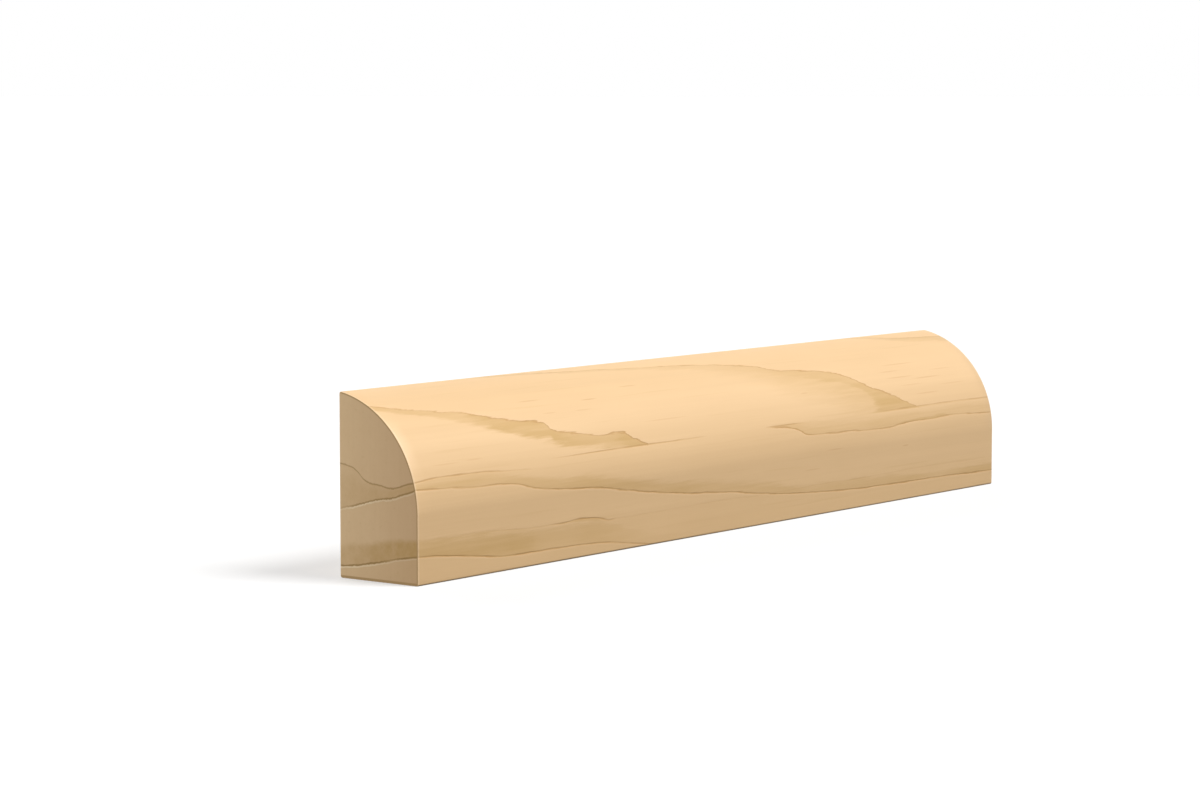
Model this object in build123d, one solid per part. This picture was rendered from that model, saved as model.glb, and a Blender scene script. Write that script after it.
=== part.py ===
from build123d import *

import os

# Shoe moulding: one length of clear pine, run to its section as a single solid piece.
# Its flat back goes against the skirting and its flat bottom on the floor. The straight front
# rises from the floor, and one arc leaves it without a break and ends at the top of the back.
# Millimetres. +X runs along the length, +Y faces the wall and +Z is up.
# The origin is on the bottom face, midway along the length and midway from front to back.

# Size of the length as cut, 4 in
LENGTH = 101.6
# Size of the section from the front to the wall, 3/8 in
DEPTH = 9.525
# Size of the section from the floor to the top of the back, 11/16 in
HEIGHT = 17.4625
# Height of the straight front, where the arc begins, 1/4 in
FRONT_HEIGHT = 6.35
# Radius that takes the sharpness off the three long corners of the section
ARRIS_RADIUS = 0.2


def moulding_section():
    """Closed section with eased corners, drawn with its depth along X and its height along Y."""
    front = -DEPTH / 2
    back = DEPTH / 2
    arc_start = (front, FRONT_HEIGHT)
    top = (back, HEIGHT)
    outline = Polyline(top, (back, 0), (front, 0), arc_start)
    outline += TangentArc(arc_start, top, tangent=(0, 1))
    section = make_face(outline)
    by_height = section.vertices().group_by(Axis.Y)
    corners = by_height[0] + by_height[-1]
    return fillet(corners, ARRIS_RADIUS)


def shoe_moulding():
    """The section run along the whole length, cut square at both ends."""
    return extrude(Plane.YZ * moulding_section(), LENGTH / 2, both=True)


os.makedirs("parts", exist_ok=True)
export_step(shoe_moulding(), "parts/shoe_moulding.step")
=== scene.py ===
"""Shoe moulding: one short length of clear pine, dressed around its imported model.

The wood is run to one section: a flat back, a flat bottom, a straight front, and a round that leaves
the front without a break and ends at the top of the back. Growth rings run through the length, so the
same rings show on the moulded face, the back, the bottom and both sawn ends.
"""

import logging
import math
from collections.abc import Callable
from dataclasses import dataclass
from enum import Enum

import bmesh
import bpy
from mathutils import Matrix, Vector

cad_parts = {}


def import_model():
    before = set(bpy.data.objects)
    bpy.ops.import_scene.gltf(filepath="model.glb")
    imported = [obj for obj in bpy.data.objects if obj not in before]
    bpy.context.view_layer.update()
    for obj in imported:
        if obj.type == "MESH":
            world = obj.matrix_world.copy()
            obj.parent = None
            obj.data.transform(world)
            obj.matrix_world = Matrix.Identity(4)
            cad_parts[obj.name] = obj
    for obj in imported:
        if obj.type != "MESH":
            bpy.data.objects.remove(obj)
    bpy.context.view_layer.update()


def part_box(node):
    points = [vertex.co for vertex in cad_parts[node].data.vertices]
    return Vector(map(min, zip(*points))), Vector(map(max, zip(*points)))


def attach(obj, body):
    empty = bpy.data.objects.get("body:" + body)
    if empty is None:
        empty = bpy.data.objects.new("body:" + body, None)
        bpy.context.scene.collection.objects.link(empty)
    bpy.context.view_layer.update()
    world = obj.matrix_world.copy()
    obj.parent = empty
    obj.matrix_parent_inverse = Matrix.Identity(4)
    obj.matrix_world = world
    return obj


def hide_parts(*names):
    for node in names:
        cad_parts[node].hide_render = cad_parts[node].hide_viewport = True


LOG = logging.getLogger("shoe_moulding")

MM = 0.001
PER_MM = 1000.0

CAD_NODE = "shoe_moulding"
CAD_BODY = "root"
WOOD_SLOT = "clear_pine"

# Height of the straight front, and the radius that eases the three long corners
FRONT_HEIGHT = 6.35 * MM
ARRIS_RADIUS = 0.2 * MM

# Distance within which two places count as the same, and least share of a normal that looks square along
SAME_PLACE = ARRIS_RADIUS / 100
SQUARE_ALONG = 0.999

# Tilt of a camera that looks level, in degrees
LEVEL_TILT = 90.0

Point = tuple[float, float]
Colour = tuple[float, float, float, float]
Socket = bpy.types.NodeSocket
Sockets = bpy.types.bpy_prop_collection
Value = Socket | float
Feeds = dict[str | int, Value | tuple[float, ...]]
Picked = bmesh.types.BMEdge | bmesh.types.BMFace

# Name of the one vector that the node groups take
POSITION = "Position"


class Grain(Enum):
    """Which way a surface cuts the fibres."""

    LONG = "long_grain"
    END = "end_grain"


class Course(Enum):
    """Which height a ring is drawn against."""

    OVER_THE_TOP = "girth"
    THROUGH_THE_WOOD = "face_height"


class Part(Enum):
    """Which parts of a mesh are picked."""

    EDGE = "EDGE"
    FACE = "FACE"


@dataclass(frozen=True)
class Section:
    """Section of the moulding in metres, with Y from the front to the back and Z up.

    Attributes:
        front: Y of the straight front.
        back: Y of the flat back.
        top: Height of the eased top of the back.
        front_height: Height at which the round leaves the straight front.
        arris: Radius of the three eased long corners.
    """

    front: float
    back: float
    top: float
    front_height: float = FRONT_HEIGHT
    arris: float = ARRIS_RADIUS

    @property
    def depth(self) -> float:
        """Size from the front to the back."""
        return self.back - self.front

    @property
    def ease_height(self) -> float:
        """Height of the centre of the eased top corner."""
        return self.top - self.arris

    @property
    def radius(self) -> float:
        """Radius of the round that touches the front and the eased top corner."""
        across = self.depth - self.arris
        up = self.ease_height - self.front_height
        return (across**2 + up**2 - self.arris**2) / (2 * (across - self.arris))

    @property
    def centre(self) -> float:
        """Y of the centre of the round."""
        return self.front + self.radius

    @property
    def turn(self) -> float:
        """Angle of the round, from the straight front to the eased top corner."""
        across = self.centre - (self.back - self.arris)
        return math.atan2(self.ease_height - self.front_height, across)

    @property
    def girth(self) -> float:
        """Width of the moulded face laid out flat, from the bottom of the front to the top."""
        return self.front_height + self.radius * self.turn + self.arris * (math.pi / 2 - self.turn)


@dataclass(frozen=True)
class Mottle:
    """An uneven pattern that is drawn out one way, along the grain unless it stands upright.

    Attributes:
        along: Usual length of a patch, in millimetres.
        across: Usual width of a patch, in millimetres.
        detail: Number of finer layers.
        rough: Share that each finer layer keeps.
        upright: True if the pattern is drawn out upwards.
    """

    along: float
    across: float
    detail: float = 2.0
    rough: float = 0.5
    upright: bool = False


# What makes a ring uneven: its edge, its run, its faded side, its fill and its dark line
RAGGED_EDGE = Mottle(along=3.2, across=0.4, detail=3.0, rough=0.6)
WANDERING_RUN = Mottle(along=16, across=4)
FRAYED_SIDE = Mottle(along=8, across=0.6, detail=4.0, rough=0.65)
PATCHY_FILL = Mottle(along=10, across=1.5, detail=3.0)
STREAKED_FILL = Mottle(along=9, across=0.4, detail=2.0)
BROKEN_LINE = Mottle(along=3.5, across=3, detail=3.0)

# What shows in the clear wood: fibres, strands of darker fibres, and broad changes of tone
FINE_FIBRE = Mottle(along=24, across=0.3, detail=3.0, rough=0.6)
COARSE_FIBRE = Mottle(along=45, across=1.1)
DARK_STRAND = Mottle(along=17, across=0.42, detail=2.0)
BROAD_TONE = Mottle(along=18, across=5, detail=3.0)

# Spacing of the resin ducts that lie scattered over the back and the bottom
DUCT_SPACING = Mottle(along=10, across=0.35)

# Marks that the saw leaves on an end, which vary the painted shade there
SAW_MARKS = Mottle(along=14, across=0.4, upright=True)


@dataclass(frozen=True)
class ResinDuct:
    """A resin duct that is cut open on the moulded face, in millimetres.

    Attributes:
        along: Distance of its middle from the left end.
        girth: Height of its middle, measured round the moulded face.
        length: Length of the dash that it leaves.
        share: How dark it is, up to 1.
    """

    along: float
    girth: float
    length: float
    share: float = 1.0


DUCT_WIDTH = 0.1
RESIN_DUCTS = (
    ResinDuct(along=5, girth=10.9, length=5, share=0.35),
    ResinDuct(along=9.2, girth=11, length=3, share=0.4),
    ResinDuct(along=21.6, girth=16.6, length=4, share=0.6),
    ResinDuct(along=23.2, girth=14.8, length=2.6, share=0.4),
    ResinDuct(along=28.4, girth=14.7, length=3.4, share=0.4),
    ResinDuct(along=30.4, girth=15.9, length=3, share=0.8),
    ResinDuct(along=38, girth=17.1, length=4, share=0.6),
    ResinDuct(along=40.5, girth=12.5, length=9, share=0.4),
    ResinDuct(along=64.6, girth=5, length=3.6, share=0.4),
    ResinDuct(along=66, girth=13.4, length=1.6, share=0.5),
    ResinDuct(along=68.9, girth=6.8, length=4, share=0.5),
    ResinDuct(along=83, girth=6.05, length=1.6, share=0.6),
    ResinDuct(along=84.1, girth=14.8, length=5, share=0.5),
    ResinDuct(along=85.4, girth=13.9, length=7, share=0.55),
    ResinDuct(along=86.8, girth=15.7, length=8, share=0.55),
    ResinDuct(along=87, girth=12.8, length=6, share=0.35),
    ResinDuct(along=89.3, girth=11.6, length=6, share=0.5),
    ResinDuct(along=90.8, girth=13.5, length=7, share=0.65),
    ResinDuct(along=94.6, girth=14.4, length=6, share=0.35),
    ResinDuct(along=95.4, girth=12.4, length=7, share=0.35),
)


# Rise of a ring through the wood: points of (depth behind the moulded face, rise)
EVEN_FALL = ((0, 0), (10, -2))
INSIDE_DEPTH = 10.0


@dataclass(frozen=True)
class GrowthRing:
    """One growth ring as it meets the surface. Points are in millimetres.

    The dark wood of the ring starts sharply at its edge and fades out towards its far side.

    Attributes:
        edge: Points of (distance from the left end, height) along the sharp edge.
        far: Points of (distance from the left end, height) along the faded side.
        strength: Points of (distance from the left end, share of full darkness).
        course: Height that the ring is drawn against.
        fade_start: Share of the way to the far side at which the fading starts.
        fill: Share of the darkness that the band keeps behind its line.
        torn: How torn the sharp edge is, where 1 is as torn as the edge of a flame.
        lip: How much of a painted highlight, a light lip, there is outside the sharp edge, up to 1.
        edge_inside: Rise of the sharp edge through the wood, where the ring is drawn through it.
        far_inside: Rise of the faded side through the wood, where the ring is drawn through it.
    """

    edge: tuple[Point, ...]
    far: tuple[Point, ...]
    strength: tuple[Point, ...]
    course: Course = Course.THROUGH_THE_WOOD
    fade_start: float = 0.45
    fill: float = 1.0
    torn: float = 1.0
    lip: float = 0.0
    edge_inside: tuple[Point, ...] = EVEN_FALL
    far_inside: tuple[Point, ...] = EVEN_FALL


LEFT_FLAME = GrowthRing(
    course=Course.OVER_THE_TOP,
    edge=(
        (0, 18.5), (3.6, 17.5), (7.1, 16.8), (11.8, 15.9), (15.4, 14.9), (18.2, 14.35), (21.5, 13.85),
        (21.9, 13.1), (26.8, 12.15), (28.6, 11.85), (32.6, 11.75), (33.9, 11.1), (36, 10.1), (40, 9),
    ),
    far=(
        (0, 17.5), (7.1, 15.6), (12, 14), (15, 13.2), (18.7, 11.9), (21.1, 11.3), (24.2, 10.8),
        (27.7, 10.3), (31, 9.6), (36, 8.5),
    ),
    strength=(
        (0, 0.65), (10, 0.55), (12.5, 0.85), (14.5, 1.15), (17, 1.05), (19, 1.2), (21.5, 1.2), (23, 0.9),
        (28, 0.72), (31, 0.75), (33, 1), (36.2, 0.95), (36.8, 0),
    ),
    fade_start=0.6,
)
LONG_FLAME_EDGE = (
    (0, 24), (12, 23), (22.9, 21.9), (30.4, 21.1), (41, 20.3), (50, 19.5), (58.9, 18.3), (62.4, 17.5),
    (63, 17.2), (69.6, 16.3), (72.9, 15.7), (75, 15.1), (78.6, 13.1), (82.1, 11.8), (85.7, 10.3), (88, 9.3),
)
LONG_FLAME = GrowthRing(
    course=Course.OVER_THE_TOP,
    edge=LONG_FLAME_EDGE,
    far=(
        (0, 23.5), (22.9, 21.2), (41, 19.5), (53.6, 17.7), (62.9, 15.5), (69.6, 14.2), (75, 12.9),
        (80, 10.2), (86, 8),
    ),
    strength=(
        (0, 0.35), (22.9, 0.5), (45, 0.5), (55, 0.5), (60, 0.65), (64, 0.8), (70, 1.05), (75, 1.1),
        (85.6, 0.95), (86.3, 0),
    ),
    fade_start=0.5,
    fill=0.7,
    torn=0.7,
)
LONG_FLAME_SHADE = GrowthRing(
    course=Course.OVER_THE_TOP,
    edge=LONG_FLAME_EDGE,
    far=((0, 20), (50, 17.5), (58, 14.8), (64, 12.2), (70, 10.5), (78, 8.5), (90, 7)),
    strength=((0, 0), (48, 0), (56, 0.25), (64, 0.4), (72, 0.47), (78, 0.5), (85.6, 0.4), (86.3, 0)),
    fade_start=0.25,
    torn=0.7,
)
LONG_FLAME_TIP = GrowthRing(
    course=Course.OVER_THE_TOP,
    edge=LONG_FLAME_EDGE,
    far=((0, 9), (76, 8.6), (90, 8)),
    strength=((0, 0), (76.8, 0), (79.2, 0.92), (85.6, 0.95), (86.3, 0)),
    fade_start=0.8,
    torn=0.7,
)
CORNER_FLAME = GrowthRing(
    course=Course.OVER_THE_TOP,
    edge=(
        (0, 31), (30, 29), (60, 25), (80, 22.6), (86, 22), (89.3, 21.2), (92.9, 20.4), (96.4, 20.1),
        (101.6, 19.8),
    ),
    far=((0, 30), (60, 24.2), (86, 21.2), (92.9, 19.2), (101.6, 18.2)),
    strength=((0, 0.4), (60, 0.35), (86, 0.3), (92, 0.5), (101.6, 0.6)),
    torn=0.5,
)
MIDDLE_SEAM = GrowthRing(
    course=Course.OVER_THE_TOP,
    edge=((0, 10.15), (101.6, 10.15)),
    far=((0, 9.7), (101.6, 9.7)),
    strength=(
        (0, 0), (20, 0), (25, 0.4), (36, 0.5), (43, 0.2), (46, 0), (56, 0), (58.5, 0.5), (61.5, 0.4),
        (64, 0), (78, 0), (81, 0.25), (85.5, 0.65), (90, 0.24), (101.6, 0.3),
    ),
    torn=0.2,
    lip=0.6,
)
CREST_INSIDE = (
    (0, 0), (0.9, -0.2), (1.5, -0.37), (2.1, -0.53), (3.3, -0.62), (3.9, -0.5), (4.6, -0.4), (5.7, -0.3),
    (6.2, 0), (6.7, 0.68), (7.7, 1.2), (8.3, 1.35), (10, 1.5),
)
LOW_RING = GrowthRing(
    edge=(
        (0, 8.8), (7.1, 8.36), (14.3, 8), (17.1, 7.4), (21.4, 6.93), (28.6, 6.33), (32.1, 5.74),
        (39.3, 4.8), (44.6, 4.3), (51, 3.8), (55.4, 3.3), (60.7, 2.78), (66, 2.48), (76.8, 2.05),
        (89.3, 1.86), (95, 1.78), (101.6, 1.62),
    ),
    far=(
        (0, 9.7), (10, 9.7), (16, 9.2), (20, 8.7), (26.8, 8.2), (33, 7.2), (39.3, 6.4), (47, 5.6),
        (55, 4.9), (62, 3.9), (70, 3.6), (80, 3.3), (90, 2.8), (101.6, 2.9),
    ),
    strength=(
        (0, 0.62), (10, 0.62), (18, 0.85), (26, 0.85), (32, 0.8), (40, 1), (46, 0.6), (52, 0.6), (60, 0.7),
        (66, 0.65), (75, 0.9), (83, 0.95), (90, 0.6), (96, 1.05), (101.6, 1.15),
    ),
    fill=0.7,
    torn=0.35,
    lip=1.0,
    edge_inside=((0, 0), (0.5, -0.2), (1.7, -0.53), (2.6, -0.83), (4.6, -1.15), (7, -1.8), (10, -2.4)),
    far_inside=CREST_INSIDE,
)
LOW_RING_CREST = GrowthRing(
    edge=((0, 9.55), (3.6, 9.72), (9, 9.72), (11.8, 9.6), (18, 9.3)),
    far=((0, 9.1), (18, 8.8)),
    strength=((0, 0.45), (3, 0.6), (6, 0.65), (10, 0.5), (14, 0.2), (17, 0)),
    fill=0.6,
    torn=0.25,
    edge_inside=CREST_INSIDE,
    far_inside=CREST_INSIDE,
)
RIGHT_RING_EDGE = (
    (56, 10), (58.4, 9.95), (61.1, 9.7), (62.9, 9.2), (63.8, 8.8), (67.9, 8.6), (72.1, 8.43), (76, 8.27),
    (79.3, 8.28), (82.1, 8.4), (84.3, 8.45), (89.3, 8.5), (92.9, 8.62), (96.4, 8.5), (101.6, 8.3),
)
RIGHT_RING = GrowthRing(
    edge=RIGHT_RING_EDGE,
    far=((56, 10.4), (63.8, 10.4), (72, 9.8), (79.3, 9.9), (84, 10.1), (90, 9.9), (101.6, 9.9)),
    strength=(
        (0, 0), (57, 0), (58.5, 0.6), (62, 1.2), (66, 1), (70, 0.75), (75, 0.8), (78, 1.1), (84, 0.85),
        (90, 0.55), (95, 0.6), (101.6, 0.7),
    ),
    fill=0.4,
    torn=0.4,
    lip=0.6,
)
RIGHT_RING_CORE = GrowthRing(
    edge=RIGHT_RING_EDGE,
    far=((56, 10.2), (79.3, 8.7), (84.3, 8.95), (89.3, 9), (92.9, 9.05), (101.6, 8.6)),
    strength=((0, 0), (79.5, 0), (82, 0.55), (84, 0.75), (90, 0.75), (93, 0.35), (97, 0.1), (101.6, 0.3)),
    fade_start=0.5,
    torn=0.4,
)
FOOT_RING = GrowthRing(
    edge=(
        (0, 2.6), (2.9, 2.4), (7.1, 1.93), (12.5, 1.35), (19.6, 1.29), (25, 1.14), (28.6, 0.9),
        (32.1, 0.5), (36, 0), (45, -1), (101.6, -6),
    ),
    far=(
        (0, 4.5), (5.4, 4.4), (10.7, 4.2), (17.9, 3.8), (24.3, 3.9), (28.6, 3.4), (34, 1.9), (45, 0.6),
        (101.6, -5),
    ),
    strength=(
        (0, 1.05), (10, 1.1), (16, 1), (18.5, 0.6), (22, 0.55), (26, 0.7), (30, 0.55), (36, 0.4), (50, 0.3),
        (101.6, 0.3),
    ),
    fade_start=0.65,
    fill=0.68,
    torn=0.25,
    lip=0.85,
    edge_inside=((0, 0), (0.7, -0.03), (2.5, -0.33), (6.1, -1.1), (8, -1.38), (10, -1.5)),
    far_inside=((0, 0), (3, -0.2), (6, -0.7), (10, -1.1)),
)
FOOT_RING_CREST = GrowthRing(
    edge=((10, 4.1), (17.9, 3.7), (21.4, 3.72), (24.3, 3.9), (26.8, 3.72), (28.8, 3.3)),
    far=((10, 3.6), (24.3, 3.4), (28.8, 2.8)),
    strength=((0, 0), (12, 0.02), (19, 0.05), (22, 0.55), (25, 0.8), (28, 0.4), (29.5, 0)),
    fill=0.6,
    torn=0.25,
)
# A faint band, darker towards the bottom, whose dark line along the bottom edge is painted shade where the
# wood meets the floor
FOOT_SHADE = GrowthRing(
    edge=((0, 0), (101.6, 0)),
    far=((0, 4.6), (101.6, 4.6)),
    strength=((0, 0.1), (40, 0.14), (101.6, 0.14)),
    torn=0.0,
)
RINGS = (
    LEFT_FLAME, LONG_FLAME, LONG_FLAME_SHADE, LONG_FLAME_TIP, CORNER_FLAME, MIDDLE_SEAM,
    LOW_RING, LOW_RING_CREST, RIGHT_RING, RIGHT_RING_CORE, FOOT_RING, FOOT_RING_CREST, FOOT_SHADE,
)

# Heights between which the flames start, at the middle seam
FLAMES_START = (9.95, 10.1)

# Lowest height that a ring curve holds, and the span of heights above it, in millimetres
CURVE_FLOOR = -10.0
CURVE_SPAN = 50.0

# Level about which a noise node varies
NOISE_MIDDLE = 0.5


@dataclass(frozen=True)
class Tint:
    """A colour that is laid over another.

    Attributes:
        colour: The colour, linear.
        share: Share of it where its mask is full. What comes to more than 1 is held at 1.
    """

    colour: Colour
    share: float


class NodeSheet:
    """A shader node tree that is written one node at a time."""

    def __init__(self, tree: bpy.types.NodeTree) -> None:
        """Keeps the tree.

        Args:
            tree: Node tree to write in.
        """
        self.tree = tree

    def add(self, kind: str, fed: Feeds | None = None, **settings: object) -> bpy.types.Node:
        """Adds a node, sets its own options and feeds its inputs.

        Args:
            kind: Blender's name of the node type.
            fed: What feeds its inputs, by name or number.
            **settings: Options of the node, by name.

        Returns:
            The new node.
        """
        node = self.tree.nodes.new(kind)
        for name, setting in settings.items():
            setattr(node, name, setting)
        for name, value in (fed or {}).items():
            self.feed(node.inputs[name], value)
        return node

    def feed(self, socket: Socket, value: Value | tuple[float, ...]) -> None:
        """Links a socket to an input, or sets the input to a constant.

        Args:
            socket: Input to feed.
            value: Socket that feeds it, or the constant.
        """
        if isinstance(value, Socket):
            self.tree.links.new(value, socket)
        else:
            socket.default_value = value

    def math(self, operation: str, first: Value, *others: Value) -> Socket:
        """Adds a Math node for each further operand, or one node if there is none.

        Args:
            operation: Blender's name of the operation.
            first: First operand.
            *others: Further operands, taken in one after another.

        Returns:
            The result.
        """
        result = first
        for other in others or (0.0,):
            result = self.add("ShaderNodeMath", {0: result, 1: other}, operation=operation).outputs[0]
        return result

    def total(self, *values: Value) -> Socket:
        """Adds up values."""
        return self.math("ADD", *values)

    def product(self, *values: Value) -> Socket:
        """Multiplies values."""
        return self.math("MULTIPLY", *values)

    def ramp(self, value: Value, start: Value, end: Value, low: float = 0.0, high: float = 1.0) -> Socket:
        """Eases from one level to another as a value goes from start to end.

        Args:
            value: Value that is read.
            start: Value at which the easing starts.
            end: Value at which the easing ends.
            low: Level before the start.
            high: Level after the end.

        Returns:
            The eased level.
        """
        fed: Feeds = {"Value": value, "From Min": start, "From Max": end, "To Min": low, "To Max": high}
        return self.add("ShaderNodeMapRange", fed, interpolation_type="SMOOTHSTEP").outputs["Result"]

    def cells(self, position: Socket, mottle: Mottle) -> Socket:
        """Counts a position in patches of a mottle.

        Args:
            position: Position in metres.
            mottle: Pattern whose patches are counted.

        Returns:
            The position, in patches.
        """
        along = PER_MM / mottle.along
        across = PER_MM / mottle.across
        counts = (across, across, along) if mottle.upright else (along, across, across)
        return self.add("ShaderNodeVectorMath", {0: position, 1: counts}, operation="MULTIPLY").outputs[0]

    def noise(self, position: Socket, mottle: Mottle) -> Socket:
        """Adds a noise that runs from about -0.3 to 0.3.

        Args:
            position: Position in metres.
            mottle: Pattern of the noise.

        Returns:
            The noise, about zero.
        """
        cells = self.cells(position, mottle)
        fed: Feeds = {"Vector": cells, "Scale": 1.0, "Detail": mottle.detail, "Roughness": mottle.rough}
        node = self.add("ShaderNodeTexNoise", fed, noise_dimensions="3D")
        return self.math("SUBTRACT", node.outputs["Fac"], NOISE_MIDDLE)

    def curve(self, position: Value, points: tuple[Point, ...], span: float) -> Socket:
        """Adds a smooth curve through points of (place, height), both in millimetres.

        Args:
            position: Place, in millimetres.
            points: Points from left to right.
            span: Place of the curve's right end, with its left end at zero.

        Returns:
            The height, in millimetres.
        """
        node = self.add("ShaderNodeFloatCurve", {"Value": self.math("DIVIDE", position, span)})
        line = node.mapping.curves[0]
        placed = [(place / span, (height - CURVE_FLOOR) / CURVE_SPAN) for place, height in points]
        line.points[0].location = placed[0]
        line.points[-1].location = placed[-1]
        for place in placed[1:-1]:
            line.points.new(*place)
        for point in line.points:
            point.handle_type = "AUTO_CLAMPED"
        node.mapping.extend = "HORIZONTAL"
        node.mapping.update()
        return self.total(self.product(node.outputs["Value"], CURVE_SPAN), CURVE_FLOOR)

    def mix(self, share: Value, first: Value | Colour, second: Value | Colour) -> Socket:
        """Mixes two colours.

        Args:
            share: Share of the second colour.
            first: First colour.
            second: Second colour.

        Returns:
            The mixed colour.
        """
        fed: Feeds = {"Factor": share, "A": first, "B": second}
        node = self.add("ShaderNodeMix", fed, data_type="RGBA", blend_type="MIX", clamp_factor=True)
        return node.outputs["Result"]

    def tint(self, mask: Value, under: Value | Colour, tint: Tint) -> Socket:
        """Lays a tint over a colour, as far as a mask says."""
        return self.mix(self.product(mask, tint.share), under, tint.colour)

    def group(self, tree: bpy.types.NodeTree, values: dict[str, Value]) -> Sockets:
        """Places a node group and feeds its inputs.

        Args:
            tree: Node group to place.
            values: Values by name, among them one for each of its inputs.

        Returns:
            The group's outputs.
        """
        node = self.add("ShaderNodeGroup", node_tree=tree)
        for socket in node.inputs:
            self.feed(socket, values[socket.name])
        return node.outputs

    def close_group(self, results: dict[str, Value]) -> bpy.types.NodeTree:
        """Ends a node group with its results.

        Args:
            results: Number outputs by name.

        Returns:
            The finished group.
        """
        for name in results:
            self.tree.interface.new_socket(name, in_out="OUTPUT", socket_type="NodeSocketFloat")
        self.add("NodeGroupOutput", results)
        return self.tree


def open_group(name: str, *inputs: str) -> tuple[NodeSheet, Sockets]:
    """Starts a shader node group.

    Args:
        name: Name of the group.
        *inputs: Names of its inputs, all numbers apart from the position.

    Returns:
        The group's sheet, and what the group is given.
    """
    tree = bpy.data.node_groups.new(name, "ShaderNodeTree")
    for title in inputs:
        kind = "NodeSocketVector" if title == POSITION else "NodeSocketFloat"
        tree.interface.new_socket(title, in_out="INPUT", socket_type=kind)
    sheet = NodeSheet(tree)
    return sheet, sheet.add("NodeGroupInput").outputs


def blank_sheet(owner: bpy.types.Material | bpy.types.World) -> NodeSheet:
    """Empties the node tree of a material or a world.

    Args:
        owner: Material or world.

    Returns:
        Its sheet.
    """
    owner.use_nodes = True
    owner.node_tree.nodes.clear()
    return NodeSheet(owner.node_tree)


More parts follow.
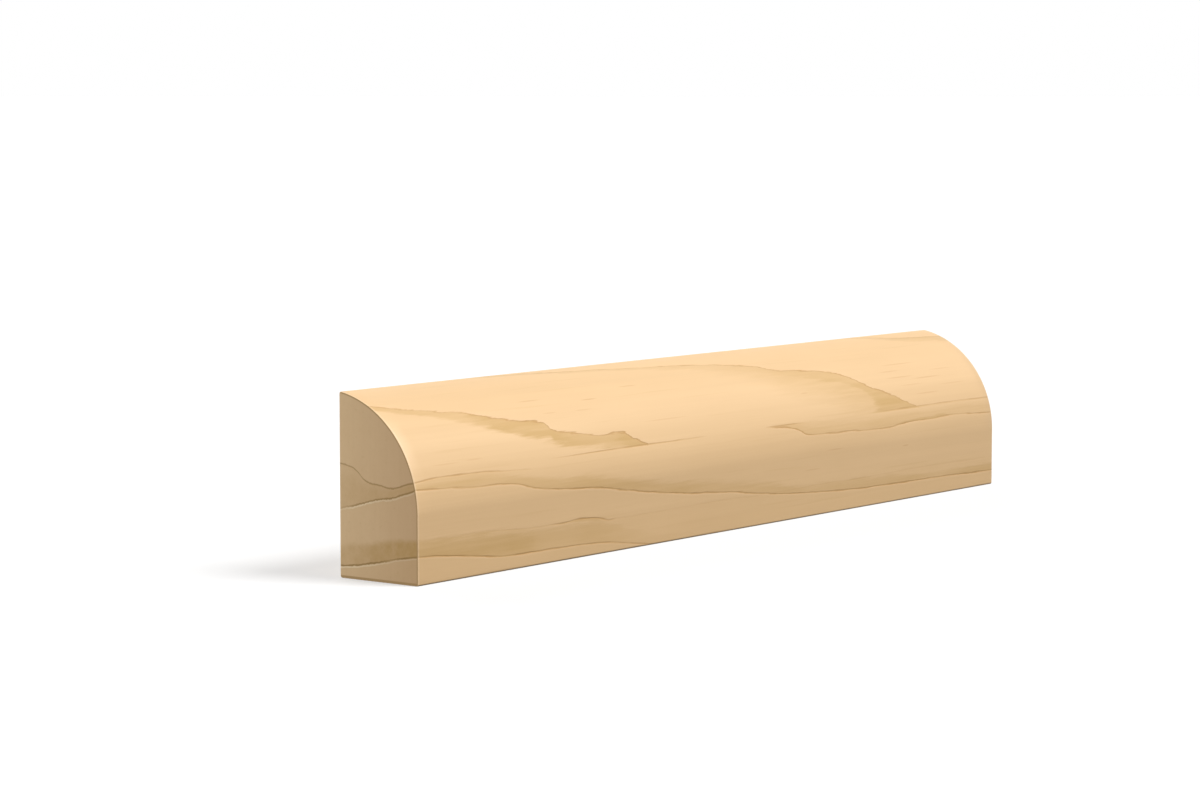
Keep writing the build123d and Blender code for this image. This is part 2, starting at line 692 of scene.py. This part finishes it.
@dataclass
class WoodGroups:
    """Node groups that the long grain and the end grain share. Sizes are in millimetres.

    Attributes:
        section: Section of the moulding, in metres.
        length: Length of the moulding, in metres.
        ragged_reach: How far the edge of a ring is torn to and fro.
        wander_reach: How far a whole ring wanders to and fro.
        fray_share: How far the faded side frays, as a share of the ring's width.
        end_fray: Share of the fraying that is left at a sawn end.
        calm: Distances from a sawn end between which the tearing grows to its full size.
        along_reach: How many times further the tearing goes along the grain than across it.
        patch_level: Usual darkness of a ring's fill.
        patch_top: Most darkness of a ring's fill.
        patch_share: How much lighter and darker the patches in a ring are.
        streak_share: How much lighter and darker the streaks in a ring are.
        edge_start: Distances from a ring's edge between which its dark wood starts.
        line_width: Half the width of the dark line along a ring's edge.
        line_inside: How far the middle of that line lies inside the edge, as a share of that width.
        line_gap: Levels of the broken line's noise between which a gap ends.
        gap_share: Share of the dark line that is left in a gap.
        lip_width: Half the width of the painted highlight, a light lip outside that line.
        lip_core: Share of that width from which the lip fades.
        fine_share: Share of the fine fibres beside the coarse ones.
        strand_cut: Levels of the strands' noise between which a strand shows.
        dash_cut: Distances from a duct, in duct spacings, between which its dash ends.
        duct_cut: Share of the duct places that stay empty.
        duct_depth: Depth behind the moulded face from which ducts lie scattered.
        foot_rim: How much wider the rim of a sawn end is along the bottom, where the rim paints shade at the
            floor.
        back_share: Share of the corner radius within which a point counts as on the back.
    """

    section: Section
    length: float
    ragged_reach: float = 0.9
    wander_reach: float = 0.5
    fray_share: float = 0.95
    end_fray: float = 0.1
    calm: Point = (0.1, 3.0)
    along_reach: float = 4.0
    patch_level: float = 0.9
    patch_top: float = 1.1
    patch_share: float = 1.1
    streak_share: float = 0.65
    edge_start: Point = (-0.03, 0.07)
    line_width: float = 0.14
    line_inside: float = 1 / 3
    line_gap: Point = (-0.18, 0.08)
    gap_share: float = 0.4
    lip_width: float = 0.1
    lip_core: float = 0.5
    fine_share: float = 0.6
    strand_cut: Point = (0.1, 0.26)
    dash_cut: Point = (0.06, 0.28)
    duct_cut: float = 0.95
    duct_depth: float = 0.3
    foot_rim: float = 0.1
    back_share: float = 0.25

    def build(self) -> None:
        """Makes the groups, each from those before it."""
        self.place = self.make_place()
        self.ring = self.make_ring()
        self.figure = self.make_figure()
        self.fibre = self.make_fibre()

    def make_place(self) -> bpy.types.NodeTree:
        """Makes the group that says where a point lies in the wood, in millimetres.

        Returns:
            The group.
        """
        sheet, given = open_group("place_in_the_wood", POSITION)
        section = self.section
        radius = section.radius * PER_MM
        front_height = section.front_height * PER_MM
        half = self.length / 2 * PER_MM
        scaled = sheet.add("ShaderNodeVectorMath", {0: given[POSITION], "Scale": PER_MM}, operation="SCALE")
        x, y, z = sheet.add("ShaderNodeSeparateXYZ", {0: scaled.outputs["Vector"]}).outputs

        above = sheet.math("MAXIMUM", sheet.math("SUBTRACT", z, front_height), 0.0)
        turn = sheet.math("ARCSINE", sheet.math("MINIMUM", sheet.math("DIVIDE", above, radius), 1.0))
        straight = sheet.math("MINIMUM", z, front_height)
        face_girth = sheet.total(straight, sheet.product(turn, radius))
        inset = sheet.product(sheet.math("SUBTRACT", 1.0, sheet.math("COSINE", turn)), radius)

        near_back = (section.back - section.arris * self.back_share) * PER_MM
        on_back = sheet.math("GREATER_THAN", y, near_back)
        down_back = sheet.math("SUBTRACT", (section.girth + section.top) * PER_MM, z)
        further = sheet.product(sheet.math("SUBTRACT", down_back, face_girth), on_back)

        from_centre = sheet.math("SUBTRACT", y, section.centre * PER_MM)
        squares = sheet.total(sheet.product(from_centre, from_centre), sheet.product(above, above))
        from_face = sheet.math("SUBTRACT", radius, sheet.math("SQRT", squares))
        # The rim of an end also runs along the bottom, where it paints shade at the floor
        from_foot = sheet.math("SUBTRACT", z, self.foot_rim)
        return sheet.close_group(
            {
                "Along": sheet.total(x, half),
                "From End": sheet.math("SUBTRACT", half, sheet.math("ABSOLUTE", x)),
                "From Back": sheet.math("SUBTRACT", section.back * PER_MM, y),
                "Girth": sheet.total(face_girth, further),
                "Face Height": face_girth,
                "Depth": sheet.math("SUBTRACT", y, section.front * PER_MM, inset),
                "Rim": sheet.math("MINIMUM", from_face, from_foot),
            }
        )

    def make_ring(self) -> bpy.types.NodeTree:
        """Makes the group that draws one growth ring.

        Returns:
            The group.
        """
        sheet, given = open_group(
            "growth_ring",
            "Height", "Edge", "Far", "Strength", "Fade Start", "Fill", "Lip Share", "Fray", "Patch", "Break",
        )
        edge = given["Edge"]
        strength = given["Strength"]
        span = sheet.math("SUBTRACT", given["Far"], edge)
        above = sheet.math("SUBTRACT", given["Height"], edge)
        inside = sheet.product(above, sheet.math("SIGN", span))
        reach = sheet.total(sheet.math("DIVIDE", above, span), given["Fray"])
        start = sheet.ramp(inside, *self.edge_start)
        fade = sheet.ramp(reach, given["Fade Start"], 1.0, 1.0, 0.0)

        # The line holds on where the band behind it grows weak, and lies mostly inside the edge
        held = sheet.math("SQRT", sheet.math("MAXIMUM", strength, 0.0))
        drawn = sheet.product(held, given["Break"])
        line_middle = self.line_width * self.line_inside
        from_line = sheet.math("ABSOLUTE", sheet.math("SUBTRACT", inside, line_middle))
        line = sheet.ramp(from_line, 0.0, self.line_width, 1.0, 0.0)
        # Painted highlight: a light lip just outside the edge
        from_lip = sheet.math("ABSOLUTE", sheet.total(inside, self.lip_width))
        lip = sheet.ramp(from_lip, self.lip_width * self.lip_core, self.lip_width, 1.0, 0.0)
        return sheet.close_group(
            {
                "Band": sheet.product(start, fade, strength, given["Fill"], given["Patch"]),
                "Line": sheet.product(line, drawn),
                "Lip": sheet.product(lip, drawn, given["Lip Share"]),
            }
        )

    def make_figure(self) -> bpy.types.NodeTree:
        """Makes the group that draws all the growth rings.

        Returns:
            The group.
        """
        sheet, given = open_group(
            "ring_figure", POSITION, "Along", "From End", "Girth", "Face Height", "Depth", "Flames"
        )
        length = self.length * PER_MM
        position = given[POSITION]
        depth = given["Depth"]
        inland = sheet.ramp(given["From End"], *self.calm)
        torn = sheet.math("MAXIMUM", inland, sheet.ramp(depth, *self.calm))
        ragged = sheet.product(sheet.noise(position, RAGGED_EDGE), self.ragged_reach, torn)
        wander = sheet.product(sheet.noise(position, WANDERING_RUN), self.wander_reach)
        frayed = sheet.ramp(inland, 0.0, 1.0, self.end_fray, 1.0)
        fray = sheet.product(sheet.noise(position, FRAYED_SIDE), self.fray_share, frayed)
        patch = sheet.total(
            sheet.product(sheet.noise(position, PATCHY_FILL), self.patch_share),
            sheet.product(sheet.noise(position, STREAKED_FILL), self.streak_share),
            self.patch_level,
        )
        patch = sheet.math("MINIMUM", patch, self.patch_top)
        broken = sheet.ramp(sheet.noise(position, BROKEN_LINE), *self.line_gap, self.gap_share, 1.0)
        along = given["Along"]
        torn_along = sheet.total(along, sheet.product(ragged, self.along_reach))
        over_top = sheet.total(given["Girth"], wander)
        through = sheet.total(given["Face Height"], wander)
        flames = sheet.product(sheet.ramp(given["Girth"], *FLAMES_START), given["Flames"])
        results: dict[str, Value] = {"Band": 0.0, "Line": 0.0, "Lip": 0.0}
        for ring in RINGS:
            edge = sheet.curve(along, ring.edge, length)
            far = sheet.curve(along, ring.far, length)
            strength = sheet.curve(torn_along, ring.strength, length)
            if ring.course is Course.THROUGH_THE_WOOD:
                height = through
                edge = sheet.total(edge, sheet.curve(depth, ring.edge_inside, INSIDE_DEPTH))
                far = sheet.total(far, sheet.curve(depth, ring.far_inside, INSIDE_DEPTH))
            else:
                height = over_top
                strength = sheet.product(strength, flames)
            drawn = sheet.group(
                self.ring,
                {
                    "Height": sheet.total(height, sheet.product(ragged, ring.torn)),
                    "Edge": edge,
                    "Far": far,
                    "Strength": strength,
                    "Fade Start": ring.fade_start,
                    "Fill": ring.fill,
                    "Lip Share": ring.lip,
                    "Fray": fray,
                    "Patch": patch,
                    "Break": broken,
                },
            )
            for name in results:
                results[name] = sheet.math("MAXIMUM", results[name], drawn[name])
        return sheet.close_group(results)

    def make_fibre(self) -> bpy.types.NodeTree:
        """Makes the group that draws fibres, broad tone and resin ducts along the wood.

        Returns:
            The group.
        """
        sheet, given = open_group("wood_fibre", POSITION, "Along", "Girth", "Depth")
        position = given[POSITION]
        fine = sheet.product(sheet.noise(position, FINE_FIBRE), self.fine_share)
        fed: Feeds = {"Vector": sheet.cells(position, DUCT_SPACING), "Scale": 1.0, "Randomness": 1.0}
        cells = sheet.add("ShaderNodeTexVoronoi", fed, feature="F1", voronoi_dimensions="3D")
        dash = sheet.ramp(cells.outputs["Distance"], *self.dash_cut, 1.0, 0.0)
        pick = sheet.add("ShaderNodeSeparateColor", {0: cells.outputs["Color"]})
        picked = sheet.math("GREATER_THAN", pick.outputs[0], self.duct_cut)
        behind_face = sheet.math("GREATER_THAN", given["Depth"], self.duct_depth)
        marks = sheet.product(dash, picked, behind_face)
        for duct in RESIN_DUCTS:
            along = sheet.product(sheet.math("SUBTRACT", given["Along"], duct.along), 2 / duct.length)
            across = sheet.product(sheet.math("SUBTRACT", given["Girth"], duct.girth), 1 / DUCT_WIDTH)
            away = sheet.total(sheet.product(along, along), sheet.product(across, across))
            marks = sheet.math("MAXIMUM", marks, sheet.ramp(away, 0.0, 1.0, duct.share, 0.0))
        return sheet.close_group(
            {
                "Streak": sheet.total(fine, sheet.noise(position, COARSE_FIBRE)),
                "Tone": sheet.noise(position, BROAD_TONE),
                "Strand": sheet.ramp(sheet.noise(position, DARK_STRAND), *self.strand_cut),
                "Duct": marks,
            }
        )


@dataclass(frozen=True)
class PineFinish:
    """Bare clear pine, cut along or across the fibres. Colours are linear.

    Attributes:
        grain: Way that the surface cuts the fibres.
        clear: Colour of the early wood where it is darker.
        pale: Colour of the early wood where it is paler.
        latewood: Colour of the dark wood of a ring.
        ring_line: Tint of the ring's sharp edge.
        lip: Painted highlight just outside the sharp edge.
        rim: Tint along the sawn edge, a painted highlight on the long grain and a darker line on an end,
            which is painted shade along the bottom.
        rim_reach: Distances from the sawn edge between which that tint ends, in millimetres.
        duct: Tint of a resin duct.
        roughness: Roughness of the early wood.
        gloss: Strength of the reflection, where 0.5 is plain for wood.
        middle_tone: Share of the paler colour in the early wood as a whole.
        streak_tone: How much paler and darker the fibres make the early wood.
        strand_share: Share of the dark colour in a strand.
        streak_rough: How much rougher and smoother the fibres make the wood.
        band_smooth: How much smoother the dark wood is.
        band_depth: Depth of the dark wood below the early wood, in millimetres.
        line_depth: Further depth of the ring's sharp edge, in millimetres.
        fibre_rise: Rise and fall of the fibres, in millimetres.
        front: Painted shade on an end, from none at the back to all at the front.
        saw_marks: How much more and less of that painted shade the saw marks have.
        back_band: Share of a ring's darkness that an end shows at the back, where the painted shade is
            least.
        front_band: How much more of it shows at the front, as part of the painted shade.
        front_line: How much stronger a ring's sharp edge is at the front of an end, as part of the painted
            shade.
    """

    grain: Grain
    clear: Colour
    pale: Colour
    latewood: Colour
    ring_line: Tint
    lip: Tint
    rim: Tint
    rim_reach: Point
    duct: Tint
    roughness: float
    gloss: float
    middle_tone: float = 0.5
    streak_tone: float = 0.9
    strand_share: float = 0.14
    streak_rough: float = 0.12
    band_smooth: float = 0.08
    band_depth: float = 0.012
    line_depth: float = 0.02
    fibre_rise: float = 0.006
    # Painted shade on an end, darker towards the front
    front: Tint = Tint((0.58, 0.365, 0.2, 1), 0.6)
    saw_marks: float = 0.2
    back_band: float = 0.55
    front_band: float = 0.95
    front_line: float = 0.45

    def make(self, groups: WoodGroups) -> bpy.types.Material:
        """Makes the material.

        Args:
            groups: Node groups of the wood.

        Returns:
            The material.
        """
        material = bpy.data.materials.new(f"{WOOD_SLOT}_{self.grain.value}")
        sheet = blank_sheet(material)
        position = sheet.add("ShaderNodeTexCoord").outputs["Object"]
        known: dict[str, Value] = {POSITION: position, "Flames": 1.0 if self.grain is Grain.LONG else 0.0}
        place = sheet.group(groups.place, known)
        known.update(place.items())
        figure = sheet.group(groups.figure, known)
        fibre = sheet.group(groups.fibre, known)
        from_rim = place["From End"]
        band = figure["Band"]
        line = figure["Line"]
        # Painted shade on an end: the wood, its rings and their lines grow darker from the back to the
        # front, varied by the saw marks; none on the long grain
        sawn = 0.0
        if self.grain is Grain.END:
            from_rim = place["Rim"]
            to_front = sheet.product(place["From Back"], MM / groups.section.depth)
            band = sheet.product(band, sheet.total(sheet.product(to_front, self.front_band), self.back_band))
            line = sheet.product(line, sheet.total(sheet.product(to_front, self.front_line), 1.0))
            sawn = sheet.total(to_front, sheet.product(sheet.noise(position, SAW_MARKS), self.saw_marks))

        streak = fibre["Streak"]
        tone = sheet.total(fibre["Tone"], sheet.product(streak, self.streak_tone), self.middle_tone)
        colour = sheet.mix(tone, self.clear, self.pale)
        colour = sheet.mix(sheet.product(fibre["Strand"], self.strand_share), colour, self.latewood)
        # Painted highlight, a light lip outside each ring's edge
        colour = sheet.tint(figure["Lip"], colour, self.lip)
        # Painted shade on an end, darker towards the front and varied by the saw marks
        colour = sheet.tint(sawn, colour, self.front)
        colour = sheet.mix(band, colour, self.latewood)
        colour = sheet.tint(line, colour, self.ring_line)
        colour = sheet.tint(fibre["Duct"], colour, self.duct)
        # Along the sawn edge: a painted highlight on the long grain; on an end a darker line round the
        # moulded face, and painted shade along the bottom
        colour = sheet.tint(sheet.ramp(from_rim, *self.rim_reach, 1.0, 0.0), colour, self.rim)

        rough = sheet.total(
            sheet.product(streak, self.streak_rough),
            sheet.product(figure["Band"], -self.band_smooth),
            self.roughness,
        )
        height = sheet.total(
            sheet.product(figure["Band"], -self.band_depth),
            sheet.product(figure["Line"], -self.line_depth),
            sheet.product(streak, self.fibre_rise),
        )
        bump = sheet.add("ShaderNodeBump", {"Distance": MM, "Height": height})
        fed: Feeds = {"Base Color": colour, "Roughness": rough, "Specular IOR Level": self.gloss}
        fed["Normal"] = bump.outputs["Normal"]
        shader = sheet.add("ShaderNodeBsdfPrincipled", fed)
        sheet.add("ShaderNodeOutputMaterial", {"Surface": shader.outputs["BSDF"]})
        return material


LONG_GRAIN = PineFinish(
    grain=Grain.LONG,
    clear=(0.825, 0.549, 0.282, 1),
    pale=(0.885, 0.600, 0.319, 1),
    latewood=(0.665, 0.416, 0.155, 1),
    ring_line=Tint((0.54, 0.28, 0.08, 1), 0.75),
    # Painted highlight beside the rings' edges
    lip=Tint((0.94, 0.66, 0.385, 1), 0.3),
    # Painted highlight along the sawn edge
    rim=Tint((0.97, 0.72, 0.46, 1), 0.4),
    rim_reach=(0.1, 0.24),
    duct=Tint((0.6, 0.3, 0.1, 1), 0.5),
    roughness=0.5,
    gloss=0.6,
)
END_GRAIN = PineFinish(
    grain=Grain.END,
    clear=(0.834, 0.592, 0.336, 1),
    pale=(0.885, 0.64, 0.375, 1),
    latewood=(0.58, 0.368, 0.15, 1),
    ring_line=Tint((0.4, 0.25, 0.1, 1), 0.95),
    # Painted highlight beside the rings' edges
    lip=Tint((1.0, 0.8, 0.52, 1), 1.5),
    # Darker line round the moulded edge of an end, and painted shade along its bottom
    rim=Tint((0.46, 0.29, 0.13, 1), 0.8),
    rim_reach=(0.1, 0.22),
    duct=Tint((0.6, 0.4, 0.2, 1), 0.1),
    roughness=0.78,
    gloss=0.3,
)


@dataclass
class MouldingRun:
    """The run of moulding, one piece of wood.

    Attributes:
        section: Section of the moulding.
        length: Length of the moulding, in metres.
        round_steps: Faces round the moulded round.
        ease_steps: Faces round each eased corner.
        front_steps: Faces up the straight front.
        back_steps: Faces down the flat back.
        bottom_steps: Faces across the flat bottom.
        length_steps: Faces along the length.
        end_ease: Width of the eased edge round each sawn end.
        end_steps: Faces across that edge.
        end_margin: Width of the row of faces inside that edge.
        smooth_angle: Angle up to which two faces are shaded as one, in degrees.
    """

    section: Section
    length: float
    round_steps: int = 56
    ease_steps: int = 4
    front_steps: int = 8
    back_steps: int = 18
    bottom_steps: int = 10
    length_steps: int = 60
    end_ease: float = 0.05 * MM
    end_steps: int = 2
    end_margin: float = 0.05 * MM
    smooth_angle: float = 35.0

    def build(self) -> bpy.types.Object:
        """Models the run, starting from a grid for the straight front.

        Returns:
            The finished object, at the origin.
        """
        section = self.section
        arris = section.arris
        deselect_everything()
        height = section.front_height - arris
        bpy.ops.mesh.primitive_grid_add(
            x_subdivisions=self.length_steps,
            y_subdivisions=self.front_steps,
            size=1.0,
            location=(0, section.front, arris + height / 2),
            rotation=(math.pi / 2, 0, 0),
        )
        run = bpy.context.object
        run.name = "moulding_run"
        run.data.name = "moulding_run"
        run.scale = (self.length, height, 1)
        bpy.ops.object.transform_apply(location=True, rotation=True, scale=True)
        bpy.ops.object.mode_set(mode="EDIT")

        # From the top edges of the grid over the round, down the back and along the bottom to the front
        below_top = section.front_height - arris
        select_parts(run, Part.EDGE, lambda edge: all(v.co.z > below_top for v in edge.verts))
        turn_edges(section.turn, self.round_steps, section.centre, section.front_height)
        turn_edges(math.pi - section.turn, self.ease_steps, section.back - arris, section.ease_height)
        extrude_edges(Vector((0, 0, arris - section.ease_height)), self.back_steps)
        turn_edges(math.pi / 2, self.ease_steps, section.back - arris, arris)
        extrude_edges(Vector((0, 2 * arris - section.depth, 0)), self.bottom_steps)
        turn_edges(math.pi / 2, self.ease_steps, section.front + arris, arris)
        bpy.ops.mesh.select_all(action="SELECT")
        bpy.ops.mesh.remove_doubles(threshold=SAME_PLACE)
        self.close_ends(run)
        bpy.ops.object.mode_set(mode="OBJECT")
        bpy.ops.object.shade_smooth_by_angle(angle=math.radians(self.smooth_angle))
        run.modifiers.new("flat_faces", "WEIGHTED_NORMAL")
        bpy.ops.object.modifier_apply(modifier="flat_faces")
        return run

    def close_ends(self, run: bpy.types.Object) -> None:
        """Closes both ends and eases their edges.

        Args:
            run: Object that is being modelled, in edit mode and all selected.
        """
        bpy.ops.mesh.fill_holes(sides=0)
        bpy.ops.mesh.select_all(action="SELECT")
        bpy.ops.mesh.normals_make_consistent(inside=False)
        select_parts(run, Part.FACE, faces_along)
        bpy.ops.mesh.region_to_loop()
        bpy.ops.mesh.bevel(offset=self.end_ease, segments=self.end_steps, affect="EDGES")
        select_parts(run, Part.FACE, faces_along)
        bpy.ops.mesh.inset(thickness=self.end_margin, use_individual=True)

    def dress(self, run: bpy.types.Object, groups: WoodGroups) -> None:
        """Gives the long faces and the sawn ends their wood.

        Args:
            run: The finished object.
            groups: Node groups of the wood.
        """
        for finish in (LONG_GRAIN, END_GRAIN):
            run.data.materials.append(finish.make(groups))
        bpy.ops.object.mode_set(mode="EDIT")
        select_parts(run, Part.FACE, faces_along)
        run.active_material_index = len(run.data.materials) - 1
        bpy.ops.object.material_slot_assign()
        bpy.ops.object.mode_set(mode="OBJECT")


def deselect_everything() -> None:
    """Leaves no object selected."""
    bpy.ops.object.select_all(action="DESELECT")


def faces_along(face: bmesh.types.BMFace) -> bool:
    """Tells whether a face looks along the length, as a sawn end does."""
    return abs(face.normal.x) > SQUARE_ALONG


def select_parts(piece: bpy.types.Object, part: Part, test: Callable[[Picked], bool]) -> None:
    """Selects, in edit mode, the edges or the faces that pass a test, and nothing else.

    Args:
        piece: Object in edit mode.
        part: Which of them are tested.
        test: Test of one edge or face.
    """
    bpy.ops.mesh.select_mode(type=part.value)
    bpy.ops.mesh.select_all(action="DESELECT")
    mesh = bmesh.from_edit_mesh(piece.data)
    for element in mesh.edges if part is Part.EDGE else mesh.faces:
        if test(element):
            element.select_set(True)
    bmesh.update_edit_mesh(piece.data)


def turn_edges(angle: float, steps: int, y: float, z: float) -> None:
    """Spins the selected edges over an axis along the length, leaving the last ones selected.

    Args:
        angle: Angle to turn through.
        steps: Faces in the turn.
        y: Y of the axis.
        z: Z of the axis.
    """
    bpy.ops.mesh.spin(steps=steps, angle=angle, center=(0, y, z), axis=(1, 0, 0))


def extrude_edges(move: Vector, steps: int) -> None:
    """Extrudes the selected edges in equal steps, leaving the last ones selected.

    Args:
        move: Move from the first edges to the last.
        steps: Faces in the move.
    """
    for _ in range(steps):
        bpy.ops.mesh.extrude_edges_move(TRANSFORM_OT_translate={"value": move / steps})


def grey(level: float) -> Colour:
    """Gives the grey of a level, where 1 is white."""
    return (level, level, level, 1)


def seen_rays(sheet: NodeSheet, mirrored: float) -> Socket:
    """Tells the rays that see the background, by eye or in a reflection, from those that light things.

    Args:
        sheet: Sheet of the floor's material or of the world.
        mirrored: Share of the background that shows in a reflection.

    Returns:
        1 for a ray that sees, that share for a reflection, and 0 for a ray that lights.
    """
    rays = sheet.add("ShaderNodeLightPath").outputs
    return sheet.math("MAXIMUM", rays["Is Camera Ray"], sheet.product(rays["Is Glossy Ray"], mirrored))


@dataclass(frozen=True)
class Lamp:
    """A far soft lamp.

    Attributes:
        name: Name of the lamp.
        towards: Direction from the object to the lamp.
        level: Light on a surface that faces the lamp, where 1 shows a colour as it is written.
        spread: Angle that the lamp covers as seen from the object, in degrees.
        shines: True if the lamp shows in a reflection.
    """

    name: str
    towards: tuple[float, float, float]
    level: float
    spread: float
    shines: bool = False

    def hang(self) -> None:
        """Adds the lamp to the scene."""
        data = bpy.data.lights.new(self.name, "SUN")
        data.energy = self.level * math.pi
        data.angle = math.radians(self.spread)
        lamp = bpy.data.objects.new(self.name, data)
        bpy.context.scene.collection.objects.link(lamp)
        lamp.rotation_euler = Vector(self.towards).to_track_quat("Z", "Y").to_euler()
        lamp.visible_glossy = self.shines


@dataclass
class Studio:
    """Pale floor, soft light and the camera at the picture's viewing angle.

    Attributes:
        floor_height: Height of the floor.
        floor_size: Size of the floor each way.
        floor_white: How much light the floor shows to the eye.
        floor_bounce: How much light the floor gives back to the object.
        floor_glow: White that the floor adds to the eye, so that only its shadows are grey.
        floor_mirrored: Share of the white floor that shows in a reflection.
        mirrored: Share of the white surroundings that shows in a reflection.
        lamps: Lamps of the studio.
        ambient: Light that comes from all round.
        camera_place: Place of the camera.
        camera_yaw: Turn of the camera from straight ahead to the right, in degrees.
        camera_pitch: Tilt of the camera down, in degrees.
        camera_lens: Focal length of the camera, in millimetres.
        camera_sensor: Width of the camera's sensor, in millimetres.
        camera_near: Distance from which the camera sees things.
    """

    floor_height: float
    floor_size: float = 60.0
    floor_white: float = 0.5
    floor_bounce: float = 0.05
    floor_glow: float = 0.5
    floor_mirrored: float = 0.5
    mirrored: float = 0.75
    lamps: tuple[Lamp, ...] = (
        Lamp("key", towards=(0.24, -0.535, 0.69), level=0.915, spread=30.0, shines=True),
        Lamp("fill", towards=(-0.95, -0.12, 0.3), level=0.54, spread=40.0),
        Lamp("back", towards=(0.5, 0.85, 0.15), level=0.95, spread=60.0),
    )
    ambient: float = 0.1
    camera_place: tuple[float, float, float] = (-0.279640, -0.201499, 0.044960)
    camera_yaw: float = 52.4717
    camera_pitch: float = 5.27125
    camera_lens: float = 99.788
    camera_sensor: float = 36.0
    camera_near: float = 0.01

    def build(self) -> None:
        """Makes the floor, the world, the light and the camera."""
        self.lay_floor()
        self.set_world()
        for lamp in self.lamps:
            lamp.hang()
        self.place_camera()
        bpy.context.scene.view_settings.view_transform = "Standard"

    def lay_floor(self) -> None:
        """Lays a plain white floor that keeps the object's shadow."""
        deselect_everything()
        bpy.ops.mesh.primitive_plane_add(size=self.floor_size, location=(0, 0, self.floor_height))
        floor = bpy.context.object
        floor.name = "floor"
        material = bpy.data.materials.new("white_floor")
        sheet = blank_sheet(material)
        matt = sheet.add("ShaderNodeBsdfDiffuse", {"Color": grey(self.floor_white)})
        glow = sheet.add("ShaderNodeEmission", {"Strength": self.floor_glow})
        shown = sheet.add("ShaderNodeAddShader", {0: matt.outputs[0], 1: glow.outputs[0]})
        dim = sheet.add("ShaderNodeBsdfDiffuse", {"Color": grey(self.floor_bounce)})
        seen = seen_rays(sheet, self.floor_mirrored)
        both = sheet.add("ShaderNodeMixShader", {"Fac": seen, 1: dim.outputs[0], 2: shown.outputs[0]})
        sheet.add("ShaderNodeOutputMaterial", {"Surface": both.outputs[0]})
        floor.data.materials.append(material)

    def set_world(self) -> None:
        """Sets a white world that lights the object softly."""
        world = bpy.data.worlds.new("studio")
        bpy.context.scene.world = world
        sheet = blank_sheet(world)
        strength = sheet.math("MAXIMUM", seen_rays(sheet, self.mirrored), self.ambient)
        background = sheet.add("ShaderNodeBackground", {"Strength": strength, "Color": grey(1.0)})
        sheet.add("ShaderNodeOutputWorld", {"Surface": background.outputs[0]})

    def place_camera(self) -> None:
        """Sets the camera where the picture was taken from."""
        data = bpy.data.cameras.new("camera")
        data.sensor_width = self.camera_sensor
        data.lens = self.camera_lens
        data.clip_start = self.camera_near
        camera = bpy.data.objects.new("camera", data)
        bpy.context.scene.collection.objects.link(camera)
        camera.location = self.camera_place
        tilt = math.radians(LEVEL_TILT - self.camera_pitch)
        camera.rotation_euler = (tilt, 0, math.radians(-self.camera_yaw))
        bpy.context.scene.camera = camera


def main() -> None:
    """Builds the moulding and the studio."""
    logging.basicConfig(level=logging.INFO, format="%(message)s")
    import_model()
    low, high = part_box(CAD_NODE)
    section = Section(front=low.y, back=high.y, top=high.z)
    length = high.x - low.x
    groups = WoodGroups(section, length)
    groups.build()
    moulding = MouldingRun(section, length)
    run = moulding.build()
    moulding.dress(run, groups)
    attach(run, CAD_BODY)
    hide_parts(CAD_NODE)
    LOG.info("moulding_run: %d faces", len(run.data.polygons))
    studio = Studio(floor_height=low.z)
    studio.build()


if __name__ == "__main__":
    main()
